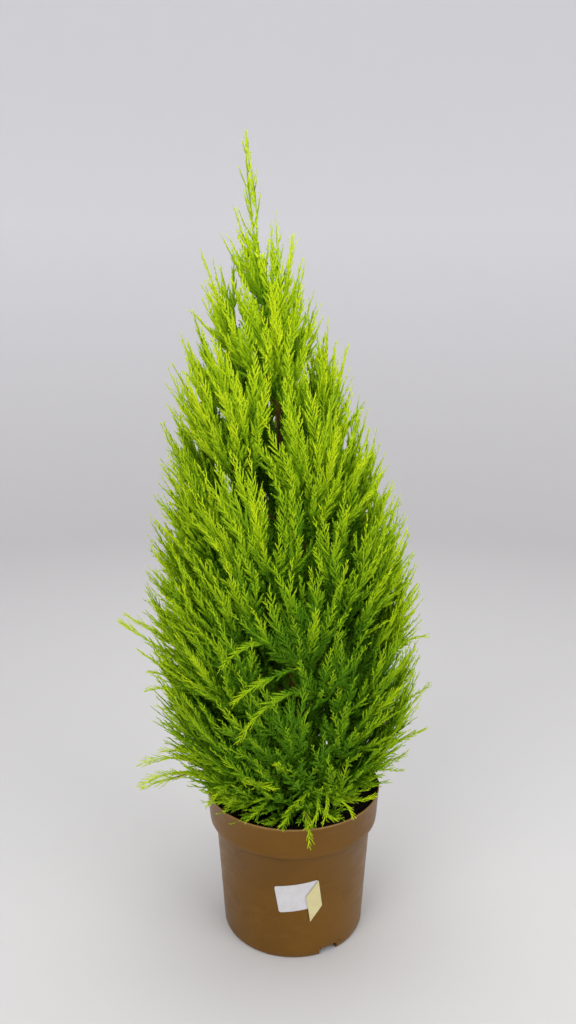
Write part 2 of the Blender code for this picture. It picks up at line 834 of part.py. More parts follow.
def main():
    start()
    home = collection("lemon_cypress")
    cutters = collection("cutters", hidden=True)
    plastic = material("pot_plastic", (0.168, 0.086, 0.022), 0.42)
    peat = material("soil", (0.010, 0.006, 0.004), 0.95)
    bark = material("bark", (0.180, 0.062, 0.026), 0.80)
    green = material("foliage", (0.260, 0.480, 0.020), 0.60)
    paper = material("label_paper", (0.720, 0.710, 0.700), 0.55)
    yellow = material("flap_paper", (0.720, 0.620, 0.300), 0.60)

    make_pot(home, cutters, plastic)
    make_soil(home, peat)
    make_label(home, paper, yellow)
    room = make_trunk(home, cutters, bark)
    lines = [*crown_lines(), leader_line()]
    space = Space(lines)
    spray = spray_mesh()
    for index, line in enumerate(lines):
        on_bough = index < PLUMES_ON_BOUGHS
        if on_bough:
            make_bough(f"bough_{index + 1:02d}", line, room, home, bark)
        name = f"plume_{index + 1:02d}" if index < PLUMES else "leader"
        plume = Plume(index, line, space, spray, on_bough)
        make_plume(name, plume, room, home, green)
    bpy.data.meshes.remove(spray)


main()
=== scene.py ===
"""Looks of the potted lemon cypress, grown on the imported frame.

Metres, +Z up, the same frame as the part's source. The crown's lines follow the source's rule and
its seed; shoots, twigs, threads and needles branch on from them inside the same outline.
"""

import math
import random

import bmesh
import bpy
import numpy as np
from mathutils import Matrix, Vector, noise


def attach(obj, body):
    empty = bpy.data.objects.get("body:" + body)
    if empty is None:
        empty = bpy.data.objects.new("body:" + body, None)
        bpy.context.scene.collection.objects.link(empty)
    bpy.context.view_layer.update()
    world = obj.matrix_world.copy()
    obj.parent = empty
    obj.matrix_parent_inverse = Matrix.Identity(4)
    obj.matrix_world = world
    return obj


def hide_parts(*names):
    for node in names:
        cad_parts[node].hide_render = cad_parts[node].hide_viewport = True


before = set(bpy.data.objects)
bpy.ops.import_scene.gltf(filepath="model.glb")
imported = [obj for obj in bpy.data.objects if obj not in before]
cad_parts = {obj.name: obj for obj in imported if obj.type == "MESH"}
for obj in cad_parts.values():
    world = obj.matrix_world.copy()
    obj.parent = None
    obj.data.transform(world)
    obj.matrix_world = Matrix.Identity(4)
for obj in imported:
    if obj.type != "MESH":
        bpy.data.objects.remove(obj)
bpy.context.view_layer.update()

# The source's plan of the plant
LINE_SEED = 20
GOLDEN_ANGLE = math.radians(137.508)
SOIL_TOP = 0.176
TRUNK_TOP = 0.862
TREE_TOP = 1.003
LEAN = -0.055
LEAN_POWER = 2.2
BOW = 0.004
TRUNK_FOOT_RADIUS = 0.0088
TRUNK_TIP_RADIUS = 0.0013
FLARE = 0.0045
FLARE_HEIGHT = 0.028
FLARE_LOBES = 5
LOBE_SHARE = 0.35
TAPER_POWER = 0.8
CROWN_OUTLINE = (
    (0.180, 0.116),
    (0.200, 0.134),
    (0.242, 0.158),
    (0.285, 0.177),
    (0.330, 0.184),
    (0.470, 0.182),
    (0.530, 0.173),
    (0.600, 0.152),
    (0.680, 0.131),
    (0.740, 0.113),
    (0.800, 0.087),
    (0.870, 0.058),
    (0.900, 0.032),
    (0.954, 0.018),
    (1.003, 0.006),
)
CROWN_SWELL = 0.011
SWELL_HEIGHTS = (0.60, 0.90)
PLUMES = 29
PLUMES_ON_BOUGHS = 24
LOWEST_TIP = 0.205
HIGHEST_TIP = 0.915
TOP_CROWDING = 0.08
FIRST_AZIMUTH = math.radians(-62)
AZIMUTH_JITTER = 0.10
REACH_SHARES = (0.94, 1.0)  # of the crown's radius
LOWEST_ROOT = 0.202
RISE = (
    (0.205, 0.004),
    (0.300, 0.080),
    (0.400, 0.150),
    (0.550, 0.205),
    (0.700, 0.205),
    (0.860, 0.165),
    (0.915, 0.105),
)
KNEE_OUT = 0.64
KNEE_UP = 0.38
STRAYS = (  # azimuth, tip height, reach, root height, knee out and up
    (math.radians(178), 0.424, 0.214, 0.315, 0.55, 0.45),
    (math.radians(188), 0.199, 0.200, 0.214, 0.55, -1.2),
    (math.radians(-82), 0.184, 0.134, 0.210, 0.68, -1.7),
    (math.radians(180), 0.868, 0.070, 0.690, 0.60, 0.40),
    (math.radians(-5), 0.886, 0.038, 0.745, 0.60, 0.40),
)
BOUGH_SHARE = 0.20  # of a line, where its bough ends in the source
BOUGH_FOOT_RADIUS = 0.0012
BOUGH_SWELL = 0.012
MOST_OF_TRUNK = 0.55
BARE_SHARE = 0.80  # of a bough, which thins out among its shoots
BOUGH_TIP_RADIUS = 0.0006
TRUNK_SUNK = 0.002  # below the soil's top
TRUNK_RELIEF = 0.22  # of the radius
BOUGH_RELIEF = 0.25

# Pot, soil and label
POT_HEIGHT = 0.195
POT_WALL = 0.0016
POT_FLOOR = 0.0025
BASE_RADIUS = 0.0925
BASE_ROUND = 0.004
BODY_TOP_RADIUS = 0.1022
BAND_BOTTOM = 0.152
BAND_FOOT_RADIUS = 0.1098
RIM_RADIUS = 0.1135
RIM_LIP = 0.0009
POT_STEPS = 144
DRAIN_HOLES = 3
FIRST_DRAIN_DEG = -61
DRAIN_WIDTH = 0.026
DRAIN_HEIGHT = 0.010
DRAIN_DEPTH = 0.020
DRAIN_ROUND = 0.002
LABEL_WIDTH = 0.055
LABEL_HEIGHT = 0.038
LABEL_CORNER = 0.003
LABEL_CENTRE_Z = 0.0925
LABEL_CENTRE_DEG = -86.5
LABEL_TURN_DEG = 8.5
FLAP_WIDTH = 0.018
FLAP_DROP = 0.019
BENDS = 12  # strips across the label, which bend round the wall
LABEL_LIFT = 0.0005  # of the sheet's middle off the wall
FLAP_LIFT = 0.0021
PAPER_THICKNESS = 0.00025
SOIL_RINGS = 36
SOIL_STEPS = 120
LUMPS = 900
FLATTER = (1.2, 1, 0.75)
STRAY_CRUMBS = (  # on the rim and in a drain notch: azimuth in degrees, radius, height, size
    (-3.0, 0.1132, 0.1958, 0.0019),
    (-1.2, 0.1126, 0.1956, 0.0012),
    (-137.0, 0.1128, 0.1956, 0.0014),
    (-50.5, 0.0914, 0.0115, 0.0024),
    (-53.0, 0.0912, 0.0120, 0.0030),
    (-55.5, 0.0914, 0.0118, 0.0022),
    (-58.5, 0.0912, 0.0122, 0.0017),
    (-62.0, 0.0914, 0.0121, 0.0019),
    (-68.5, 0.0914, 0.0105, 0.0020),
)

# Finer growth than the source's
SEED = 4
OUTLINE_SHARE = 0.965  # of the source's outline, which is drawn a little full for its blades
TO_THE_LEFT = 0.045  # more of it on the left, and less on the right
TIP_CANDIDATES = 30000
TIP_GAPS = ((0.60, 0.0155), (0.80, 0.0185), (0.95, 0.0300))  # by height, at the crown's surface
TIP_GAP_BY_DEPTH = 0.10  # and more for each metre inside it
TIPS_BY_RADIUS = 1.4  # power of the crown's radius by which tips are tried at each height
TIPS_OUTWARD = 0.42  # power of chance by which they are tried outward; 0.5 is even
CROWN_BOTTOM = 0.186
HIGHEST_SHOOT = 0.925
# By height, at the crown's surface; the whole plant reaches to the left as well
LEAN_DEG = ((0.19, 88), (0.25, 64), (0.33, 46), (0.45, 40), (0.60, 34), (0.75, 25), (0.95, 17))
ALL_LEAN = (-0.10, 0.0, 0.0)
SHOOT_LENGTHS = (0.080, 0.145)
SHORTER_LOW = ((0.19, 0.65), (0.30, 1.0))  # share of the length near the pot, by height
LENGTH_WEIGHT = 25.0  # in the choice of a bearer: for each metre off the length wanted
HEADING_WEIGHT = 7.0  # for a heading off the one wanted
CHANCE_WEIGHT = 0.35
CHANCES = 64  # drawn for each tip and repeated over the places
LINE_PLACES = np.linspace(0.10, 1.0, 24)  # where lines bear shoots, as shares of their length
SHOOT_PLACES = np.array((0.15, 0.30, 0.45))  # and where shoots do
SHOOT_BODY = np.array((0.50, 0.60, 0.70, 0.80, 0.90, 1.0))  # what other shoots' tips stay off
LONGEST_SHOOT = 0.190
SHORTEST_SHOOT = 0.032
LEAFY_FROM = 0.30  # share of a line from where it bears twigs itself
SHOOT_LIFT = 0.16  # of their length, by which shoots turn up
SHOOT_STRAIGHTER = 0.08  # and by which they turn towards their tip
TWIG_GAP = 0.0047
TWIG_LENGTH = 0.027
FULL_SHOOT = 0.10  # length of a shoot with twigs of that length
FULL_TWIG = 0.025  # and of a twig with full threads
FREE_TWIG_GAP = 0.0027  # on the lines' own ends and the loose shoots
FREE_TWIGS = 0.68  # of the others' length
TWIG_SPREAD_DEG = 31
TWIG_SPAN = (0.10, 0.99)  # of the shoot
POINTED = ((0.05, 0.6), (0.25, 1.0), (0.50, 0.88), (0.80, 0.42), (1.0, 0.2))  # twigs along a shoot
BLUNT = ((0.05, 0.6), (0.25, 0.95), (0.85, 0.80), (1.0, 0.3))  # and along a free one
THREAD_GAP = 0.0050
THREAD_LENGTH = 0.0088
THREAD_SPREAD_DEG = 31
THREAD_SPAN = (0.15, 0.80)  # of the twig
NEEDLE_GAP = 0.0036
NEEDLE_LENGTH = 0.0026
NEEDLE_WIDTH = 0.0010
NEEDLE_SPREAD_DEG = 27
SHOOT_RADIUS = 0.00100
SHOOT_TAPER = 0.6  # the tip's radius over the foot's
LOOSE_TAPER = 0.35
LINE_TAPER = 0.3
TWIG_RADIUS = 0.00062
THREAD_RADIUS = 0.00051
STOUTER = ((0.012, 1.0), (0.050, 3.4), (0.090, 5.0))  # growth inside the crown, by depth
TWIG_MARGIN = 0.004  # by which a twig's tip may pass the crown's outline
THREAD_MARGIN = 0.008
LIGHT_CELL = 0.016  # side of the crown's cells
MOST_IN_CELL = ((0.0, 15), (0.03, 10), (0.08, 6))  # twigs that find light there, by depth
BARE_DEPTH = 0.120  # deeper in the crown than this, twigs carry no threads
SURFACE_SHADE = 2.5  # places in SHADES, added at the crown's surface
SHADE_DEPTH = 0.024  # inward, for each place fewer: partly the inner growth's own greener colour, partly painted shade
# Painted light from above: shades added by height, lighter towards the top, painted shade low down
PAINTED_LIGHT_BY_HEIGHT = ((0.20, -0.6), (0.40, -0.25), (0.55, 0.1), (0.70, 0.6), (0.85, 0.9), (1.00, 0.9))
POT_MARGIN = 0.002
POCKETS = (  # places without shoots' tips, as centres and half axes: in the front, over the soil
    ((-0.018, -0.115, 0.445), (0.024, 0.080, 0.058)),
    ((0.094, -0.030, 0.192), (0.052, 0.070, 0.032)),
    ((-0.024, -0.060, 0.690), (0.013, 0.080, 0.040)),
)
PAINTED_SHADE_FRONT = (0.005, -0.110, 0.360)  # the middle of the front, where the foliage is painted darker: painted shade
PAINTED_SHADE_FRONT_HALVES = (0.085, 0.090, 0.150)
PAINTED_SHADE_FRONT_BY = 2.3
LOOSE_SHOOTS = (  # near their root, their highest or lowest place, their tip, and their shade
    ((0.020, -0.110, 0.370), (-0.019, -0.150, 0.380), (-0.063, -0.163, 0.334), 1.0),
    ((0.002, -0.112, 0.390), (-0.034, -0.146, 0.399), (-0.067, -0.157, 0.378), 1.0),
    ((-0.012, -0.105, 0.424), (-0.046, -0.132, 0.438), (-0.084, -0.146, 0.412), 1.0),
    ((0.014, -0.075, 0.245), (0.030, -0.110, 0.230), (0.014, -0.122, 0.202), 1.1),
    ((-0.011, -0.070, 0.235), (-0.004, -0.108, 0.220), (-0.018, -0.119, 0.202), 0.8),
    ((0.018, -0.070, 0.240), (0.020, -0.105, 0.246), (-0.012, -0.122, 0.222), 1.3),
    ((0.022, -0.070, 0.245), (0.040, -0.105, 0.240), (0.034, -0.118, 0.205), 1.2),
    ((0.020, -0.080, 0.235), (0.055, -0.108, 0.232), (0.070, -0.115, 0.212), 1.2),
    ((0.039, -0.060, 0.217), (0.069, -0.090, 0.222), (0.097, -0.100, 0.232), 1.2),
    ((-0.060, -0.070, 0.243), (-0.086, -0.100, 0.240), (-0.107, -0.090, 0.210), 0.8),
    ((-0.053, -0.070, 0.242), (-0.066, -0.100, 0.238), (-0.084, -0.100, 0.212), 0.7),
    ((-0.035, -0.075, 0.238), (-0.036, -0.110, 0.226), (-0.058, -0.116, 0.206), 0.5),
    ((0.010, -0.080, 0.238), (0.036, -0.104, 0.214), (0.052, -0.105, 0.205), 0.9),
    ((-0.070, -0.050, 0.240), (-0.062, -0.110, 0.262), (-0.020, -0.135, 0.262), 1.8),
    ((-0.087, -0.040, 0.215), (-0.142, -0.060, 0.240), (-0.191, -0.070, 0.228), 0.9),
    ((-0.087, -0.040, 0.225), (-0.135, -0.055, 0.256), (-0.192, -0.060, 0.251), 0.9),
    ((-0.081, -0.030, 0.230), (-0.111, -0.050, 0.258), (-0.147, -0.050, 0.256), 0.7),
    ((-0.112, -0.030, 0.320), (-0.146, -0.050, 0.344), (-0.183, -0.050, 0.346), 0.6),
    ((-0.114, 0.000, 0.324), (-0.149, -0.030, 0.350), (-0.183, -0.030, 0.362), 0.6),
    ((-0.129, -0.030, 0.367), (-0.170, -0.040, 0.401), (-0.213, -0.040, 0.431), 0.6),
    ((-0.129, -0.040, 0.342), (-0.158, -0.050, 0.375), (-0.190, -0.050, 0.399), 0.6),
    ((-0.088, -0.030, 0.210), (-0.112, -0.050, 0.234), (-0.142, -0.060, 0.241), 0.6),
    ((-0.088, -0.030, 0.227), (-0.123, -0.050, 0.263), (-0.168, -0.050, 0.264), 0.8),
    ((0.095, 0.000, 0.215), (0.128, 0.000, 0.226), (0.151, 0.000, 0.238), 0.5),
    ((0.089, -0.010, 0.215), (0.121, -0.010, 0.217), (0.144, -0.010, 0.216), 0.5),
    ((0.111, 0.000, 0.360), (0.143, 0.000, 0.390), (0.169, 0.000, 0.397), 0.6),
    ((0.115, 0.000, 0.296), (0.150, 0.000, 0.312), (0.177, 0.000, 0.334), 0.6),
)
SPIRE_BOTTOM = 0.800
SPIRE_BOW = (0.024, 0.0, 0.0)
SPIRE_BRANCHES = 15
SPIRE_SPAN = (0.0, 0.90)  # of the leader
SPIRE_SPREAD_DEG = 31.0
SPIRE_BRANCH = 0.010
SPIRE_BRANCH_LONGER = 0.050  # towards the leader's foot
SPIRE_TWIG_GAP = 0.0062
SPIRE_TWIGS = 0.46  # of the others' length
LINE_SHADE = 0.8  # places in SHADES
SHOOT_SHADES = 0.35  # spread of the shoots' shades
SPIRE_SHADE = 0.9
STEM_SHADE = 1.6  # added to the shoots' own stems
MOST_TRIANGLES = 190000  # in one piece

SHADES = (  # name, linear base colour, from the crown's inside to its tips; the darker ones are partly the inner growth's own greener colour, partly painted shade
    ("deep", (0.098, 0.250, 0.004)),
    ("green", (0.215, 0.400, 0.005)),
    ("fresh", (0.345, 0.540, 0.006)),
    ("lime", (0.475, 0.665, 0.007)),
    ("lemon", (0.640, 0.795, 0.010)),
)

rng = np.random.default_rng(SEED)


# --- the plant's lines, by the source's rule -----------------------------------------------------


def between(table, at):
    places, values = zip(*table)
    return np.interp(at, places, values)


def crown_radius(z, azimuth):
    low, high = SWELL_HEIGHTS
    share = np.clip((z - low) / (high - low), 0.0, 1.0)
    swell = CROWN_SWELL * np.sin(np.pi * share)
    return between(CROWN_OUTLINE, z) - swell * np.cos(azimuth)


def trunk_points(z):
    """Points on the trunk's line, for an array of heights."""
    z = np.asarray(z, float)
    share = np.maximum(0.0, (z - SOIL_TOP) / (TREE_TOP - SOIL_TOP))
    across = LEAN * share**LEAN_POWER
    return np.stack([across, BOW * np.sin(2 * np.pi * share), z], axis=-1)


def flare(z):
    return FLARE * math.exp(-((z - SOIL_TOP) / FLARE_HEIGHT) ** 2 * 3)


def trunk_radius(z):
    share = min(1.0, max(0.0, (z - SOIL_TOP) / (TRUNK_TOP - SOIL_TOP)))
    taper = TRUNK_FOOT_RADIUS + (TRUNK_TIP_RADIUS - TRUNK_FOOT_RADIUS) * share**TAPER_POWER
    return taper + flare(z)


def tip_height(share):
    heights = np.linspace(LOWEST_TIP, HIGHEST_TIP, 60)
    crowding = np.cumsum(between(CROWN_OUTLINE, heights) + TOP_CROWDING)
    crowding -= crowding[0]
    return float(np.interp(share * crowding[-1], crowding, heights))


def arched(azimuth, tip_z, reach, root_z, knee_out=KNEE_OUT, knee_up=KNEE_UP):
    """(root, knee, tip) of one line."""
    root = trunk_points(root_z)
    tip = trunk_points(tip_z)
    tip = tip + reach * np.array([math.cos(azimuth), math.sin(azimuth), 0])
    flat = (tip - root) * (1, 1, 0)
    knee = root + flat * knee_out + np.array([0, 0, (tip_z - root_z) * knee_up])
    return np.array([root, knee, tip])


def crown_lines():
    chance = random.Random(LINE_SEED)
    lines = []
    for index in range(PLUMES):
        azimuth = FIRST_AZIMUTH + index * GOLDEN_ANGLE
        azimuth += chance.uniform(-AZIMUTH_JITTER, AZIMUTH_JITTER)
        tip_z = tip_height(index / (PLUMES - 1))
        reach = crown_radius(tip_z, azimuth) * chance.uniform(*REACH_SHARES)
        root_z = max(LOWEST_ROOT, tip_z - between(RISE, tip_z))
        lines.append(arched(azimuth, tip_z, reach, root_z))
    for stray in STRAYS:
        line = arched(*stray)
        gaps = [np.linalg.norm(other[2] - line[2]) for other in lines]
        lines[gaps.index(min(gaps))] = line
    root, tip = trunk_points(TRUNK_TOP), trunk_points(TREE_TOP)
    lines.append(np.array([root, (root + tip) / 2, tip]))
    return np.array(lines)


# --- axes: every stem of the plant is root + first * t + second * t^2, with t from 0 to 1 --------


FIELDS = ("root", "first", "second", "foot", "tip", "shade", "free")


class Axes:
    """Many stems at once, each a shallow arc. A free one may leave the crown's outline.

    Foot radius, shade and free are one value for all of them, or one for each."""

    def __init__(self, root, first, second, foot, taper, shade, free):
        self.root, self.first, self.second = root, first, second
        self.foot, self.shade, self.free = (np.full(len(root), v) for v in (foot, shade, free))
        self.tip = self.foot * taper

    def __len__(self):
        return len(self.root)

    def at(self, share):
        share = share[..., None]
        return self.root + self.first * share + self.second * share**2

    def all_at(self, share):
        return self.at(np.full(len(self), share))

    def heading(self, share):
        return unit(self.first + 2 * self.second * share[..., None])

    def lengths(self):
        return np.linalg.norm(self.first + self.second, axis=1)

    def end_part(self, start):
        """The same stems from a share of their length to their end."""
        made = self.some(np.arange(len(self)))
        made.root = self.all_at(start)
        made.first = (self.first + 2 * self.second * start) * (1 - start)
        made.second = self.second * (1 - start) ** 2
        return made

    def some(self, chosen):
        return self.like([getattr(self, field)[chosen] for field in FIELDS])

    @staticmethod
    def like(values):
        made = Axes.__new__(Axes)
        for field, value in zip(FIELDS, values):
            setattr(made, field, value)
        return made


def together(*several):
    return Axes.like(
        [np.concatenate([getattr(a, field) for a in several]) for field in FIELDS]
    )


def unit(vectors):
    return vectors / np.maximum(np.linalg.norm(vectors, axis=-1, keepdims=True), 1e-9)


def from_trunk(points):
    """Distance from the trunk's line, and how far out growth reaches there."""
    across = points - trunk_points(points[:, 2])
    azimuth = np.arctan2(across[:, 1], across[:, 0])
    return np.hypot(across[:, 0], across[:, 1]), growth_limit(points[:, 2], azimuth)


def growth_limit(z, azimuth):
    return crown_radius(z, azimuth) * (OUTLINE_SHARE - TO_THE_LEFT * np.cos(azimuth))


def depths(points):
    """How far points lie inside the crown's outline."""
    out, limit = from_trunk(points)
    return limit - out


def clear_of_pot(points):
    out = np.hypot(points[:, 0], points[:, 1])
    over_wall = points[:, 2] > POT_HEIGHT + POT_MARGIN
    inside = (out < RIM_RADIUS - POT_WALL - POT_MARGIN) & (
        points[:, 2] > SOIL_TOP + POT_MARGIN
    )
    outside = out > RIM_RADIUS + POT_MARGIN
    return over_wall | inside | outside


def clear_all_along(axes):
    """Whether each stem is clear of the pot from its root to its tip."""
    shares = np.linspace(0.1, 1.0, 12)
    return np.all([clear_of_pot(axes.all_at(share)) for share in shares], axis=0)


def across_headings(points, headings):
    """Two directions square to each heading; the first lies along the crown's surface."""
    outward = unit((points - trunk_points(points[:, 2])) * (1, 1, 0) + (0, -1e-4, 0))
    side = unit(np.cross(headings, outward))
    return side, np.cross(side, headings)


def branched(parents, counts, span, spreads, rolls, lengths, forward, lift):
    """Stems that leave their parents; the functions take each stem's share along its parent.

    It returns the stems' roots, arcs, owners and shares."""
    owner = np.repeat(np.arange(len(parents)), counts)
    order = np.arange(len(owner)) - np.repeat(np.cumsum(counts) - counts, counts)
    share = (order + rng.uniform(0.1, 0.9, len(owner))) / counts[owner]
    share = span[0] + (span[1] - span[0]) * share
    bearer = parents.some(owner)
    root, heading = bearer.at(share), bearer.heading(share)
    side, other = across_headings(root, heading)
    roll = rolls(order, share)[:, None]
    spread = np.radians(spreads(share))[:, None]
    away = side * np.cos(roll) + other * np.sin(roll)
    start = heading * np.cos(spread) + away * np.sin(spread)
    length = lengths(owner, share)[:, None]
    bend = (heading - start) * forward + np.array([0, 0, lift])
    return root, start * length, bend * length, owner, share


def possible_tips():
    """Points all through the crown, closer together near its surface."""
    heights = np.linspace(CROWN_BOTTOM, HIGHEST_SHOOT, 80)
    crowding = np.cumsum(between(CROWN_OUTLINE, heights) ** TIPS_BY_RADIUS)
    z = np.interp(rng.random(TIP_CANDIDATES) * crowding[-1], crowding, heights)
    azimuth = rng.uniform(-np.pi, np.pi, TIP_CANDIDATES)
    out = growth_limit(z, azimuth) * rng.random(TIP_CANDIDATES) ** TIPS_OUTWARD
    points = trunk_points(z)
    points[:, 0] += out * np.cos(azimuth)
    points[:, 1] += out * np.sin(azimuth)
    outside = [away_from(points, centre, halves) > 1 for centre, halves in POCKETS]
    return points[clear_of_pot(points) & np.all(outside, axis=0)]


def away_from(points, centre, halves):
    """Distance from a centre, where 1 is the surface of the ellipsoid with those half axes."""
    return np.linalg.norm((points - centre) / halves, axis=-1)


def line_axes(lines):
    """The lines and the trunk's own upper stretches, which bear shoots too."""
    joints = trunk_points(np.linspace(TRUNK_TOP, SOIL_TOP, 4))
    stretches = [(low, (low + high) / 2, high) for high, low in zip(joints, joints[1:])]
    lines = np.concatenate([lines, stretches])
    root, knee, tip = lines[:, 0], lines[:, 1], lines[:, 2]
    first, second = 2 * (knee - root), root - 2 * knee + tip
    return Axes(root, first, second, SHOOT_RADIUS * 1.2, LINE_TAPER, LINE_SHADE, True)


def shoot_axes(bearers):
    """A shoot to each free place in the crown from the stem that suits it, and the lines' ends.

    Each shoot keeps other shoots' tips off its body, and bears shoots in its turn."""
    tips = possible_tips()
    gaps = between(TIP_GAPS, tips[:, 2]) + TIP_GAP_BY_DEPTH * np.maximum(0, depths(tips))
    wanted = rng.uniform(*SHOOT_LENGTHS, len(tips)) * between(SHORTER_LOW, tips[:, 2])
    headings, chances = wanted_headings(tips), rng.random((len(tips), CHANCES))
    places = np.concatenate([bearers.all_at(share) for share in LINE_PLACES])
    taken = bearers.all_at(1.0)
    roots, ends = [], []
    for tip, gap, reach, heading, chance in zip(tips, gaps, wanted, headings, chances):
        if ((taken - tip) ** 2).sum(axis=1).min() < gap**2:
            continue
        chords = tip - places
        lengths = np.linalg.norm(chords, axis=1)
        cost = LENGTH_WEIGHT * abs(lengths - reach)
        cost = cost + HEADING_WEIGHT * (1 - chords @ heading / lengths)
        best = (cost + CHANCE_WEIGHT * np.resize(chance, len(places))).argmin()
        arc = shoot_arcs(places[best : best + 1], tip[None])
        if SHORTEST_SHOOT < lengths[best] < LONGEST_SHOOT and clear_all_along(arc)[0]:
            roots.append(places[best])
            ends.append(tip)
            taken = np.concatenate([taken, *(arc.all_at(share) for share in SHOOT_BODY)])
            places = np.concatenate([places, *(arc.all_at(share) for share in SHOOT_PLACES)])
    made = shoot_arcs(np.array(roots), np.array(ends))
    made.shade = rng.normal(0, SHOOT_SHADES, len(made))
    return together(made, loose_shoots(places), bearers.end_part(LEAFY_FROM))


def loose_shoots(places):
    """The named shoots that hang or reach out of the crown, each from the nearest stem."""
    *points, shade = (np.array(values) for values in zip(*LOOSE_SHOOTS))
    near, bend, tip = points
    root = np.array([places[((places - point) ** 2).sum(axis=1).argmin()] for point in near])
    bend = 2 * bend - (root + tip) / 2
    first, second = 2 * (bend - root), root - 2 * bend + tip
    return Axes(root, first, second, SHOOT_RADIUS, LOOSE_TAPER, shade, True)


def shoot_arcs(roots, tips):
    """Stems that leave low and turn up to their tips."""
    chords = tips - roots
    length = np.linalg.norm(chords, axis=1, keepdims=True)
    second = (np.array([0, 0, SHOOT_LIFT]) + SHOOT_STRAIGHTER * unit(chords)) * length
    return Axes(roots, chords - second, second, SHOOT_RADIUS, SHOOT_TAPER, 0.0, False)


def wanted_headings(tips):
    """Shoots stand upright in the crown's middle and lean out towards its surface."""
    out, limit = from_trunk(tips)
    lean = np.radians(between(LEAN_DEG, tips[:, 2]) * np.minimum(1, out / limit))
    outward = unit((tips - trunk_points(tips[:, 2])) * (1, 1, 0))
    heading = outward * np.sin(lean)[:, None] + np.array([0, 0, 1]) * np.cos(lean)[:, None]
    return unit(heading + ALL_LEAN)


def spire_axes():
    """The leader and its own open side branches."""
    root, tip = trunk_points(np.array([SPIRE_BOTTOM])), trunk_points(np.array([TREE_TOP]))
    bow = np.array([SPIRE_BOW])
    leader = Axes(root, tip - root - bow, bow, 1.8 * SHOOT_RADIUS, 0.4, SPIRE_SHADE, True)

    def lengths(owner, share):
        reach = SPIRE_BRANCH + SPIRE_BRANCH_LONGER * (1 - share)
        return reach * rng.uniform(0.8, 1.2, len(share))

    root, first, second, _, _ = branched(
        leader,
        np.array([SPIRE_BRANCHES]),
        SPIRE_SPAN,
        lambda share: np.full(len(share), SPIRE_SPREAD_DEG),
        lambda order, share: order * GOLDEN_ANGLE,
        lengths,
        forward=0.3,
        lift=0.10,
    )
    branches = Axes(root, first, second, 1.1 * SHOOT_RADIUS, 0.5, SPIRE_SHADE, True)
    return together(leader, branches)


def kept(axes, over):
    """The stems whose tips stay in the crown, clear of the pot and below the top."""
    tips = axes.all_at(1.0)
    inside = axes.free | (depths(tips) > -over)
    return axes.some(inside & clear_all_along(axes) & (tips[:, 2] < TREE_TOP))


def thinned(axes):
    """The same stems less those that are one too many in their cell of the crown."""
    middles = axes.all_at(0.6)
    cells = np.floor(middles / LIGHT_CELL).astype(int)
    cell_of = np.unique(cells, axis=0, return_inverse=True)[1].ravel()
    order = rng.permutation(len(axes))
    order = order[np.argsort(cell_of[order], kind="stable")]
    starts = np.searchsorted(cell_of[order], np.arange(cell_of.max() + 1))
    ranks = np.empty(len(axes), int)
    ranks[order] = np.arange(len(axes)) - starts[cell_of[order]]
    return axes.some(axes.free | (ranks < between(MOST_IN_CELL, depths(middles))))


def twig_axes(shoots, free_gap=FREE_TWIG_GAP, free_share=FREE_TWIGS):
    """Two rows of twigs along each shoot, darker deep in the crown (partly their own greener
    colour, partly painted shade), with painted light from above, painted shade low down and in the
    front's middle.
    """
    reach = shoots.lengths()
    counts = np.maximum(4, (reach / np.where(shoots.free, free_gap, TWIG_GAP)).astype(int))
    size = np.clip(reach / FULL_SHOOT, 0.4, 1.1) * np.where(shoots.free, free_share, 1.0)

    def lengths(owner, share):
        free = shoots.free[owner]
        plume = np.where(free, between(BLUNT, share), between(POINTED, share))
        return TWIG_LENGTH * size[owner] * plume * rng.uniform(0.65, 1.25, len(share))

    root, first, second, owner, share = branched(
        shoots,
        counts,
        TWIG_SPAN,
        lambda share: TWIG_SPREAD_DEG - 9 * share + rng.normal(0, 5, len(share)),
        lambda order, share: order * np.pi + rng.normal(0, 0.55, len(order)),
        lengths,
        forward=0.22,
        lift=0.06,
    )
    shade = shoots.shade[owner] + 1.6 * share + rng.normal(0, 0.25, len(share))
    # Darker inward: partly the inner growth's own greener colour, partly painted shade of the
    # crown's inside.
    shade = shade + SURFACE_SHADE - np.clip(depths(root + first + second), 0, 0.1) / SHADE_DEPTH
    # Painted light from above, and painted shade low down
    shade = shade + between(PAINTED_LIGHT_BY_HEIGHT, root[:, 2])
    # Painted shade in the middle of the front
    shade = shade - PAINTED_SHADE_FRONT_BY * np.exp(-(away_from(root, PAINTED_SHADE_FRONT, PAINTED_SHADE_FRONT_HALVES) ** 2))
    foot = TWIG_RADIUS * stoutness(root)
    made = Axes(root, first, second, foot, 0.75, shade, shoots.free[owner])
    return thinned(kept(made, TWIG_MARGIN))


def stoutness(points):
    """Growth inside the crown is drawn stouter, so that the few there close it as the many do."""
    return between(STOUTER, depths(points))


def thread_axes(twigs):
    """Two rows of short side threads along each twig that isn't deep in the crown."""
    reach = twigs.lengths()
    counts = np.maximum(1, (reach / THREAD_GAP).astype(int))
    counts[depths(twigs.all_at(0.5)) > BARE_DEPTH] = 0
    size = np.clip(reach / FULL_TWIG, 0.45, 1.15)

    def lengths(owner, share):
        plume = 0.35 + 0.65 * np.clip((1.05 - share) / 0.8, 0, 1)
        return THREAD_LENGTH * size[owner] * plume * rng.uniform(0.6, 1.25, len(share))

    root, first, second, owner, share = branched(
        twigs,
        counts,
        THREAD_SPAN,
        lambda share: THREAD_SPREAD_DEG - 6 * share + rng.normal(0, 6, len(share)),
        lambda order, share: order * np.pi + rng.normal(0, 0.6, len(order)),
        lengths,
        forward=0.2,
        lift=0.03,
    )
    shade = twigs.shade[owner] + 0.5 * share
    foot = THREAD_RADIUS * stoutness(root)
    made = Axes(root, first, second, foot, 0.5, shade, twigs.free[owner])
    return kept(made, THREAD_MARGIN)


# --- meshes from arrays --------------------------------------------------------------------------


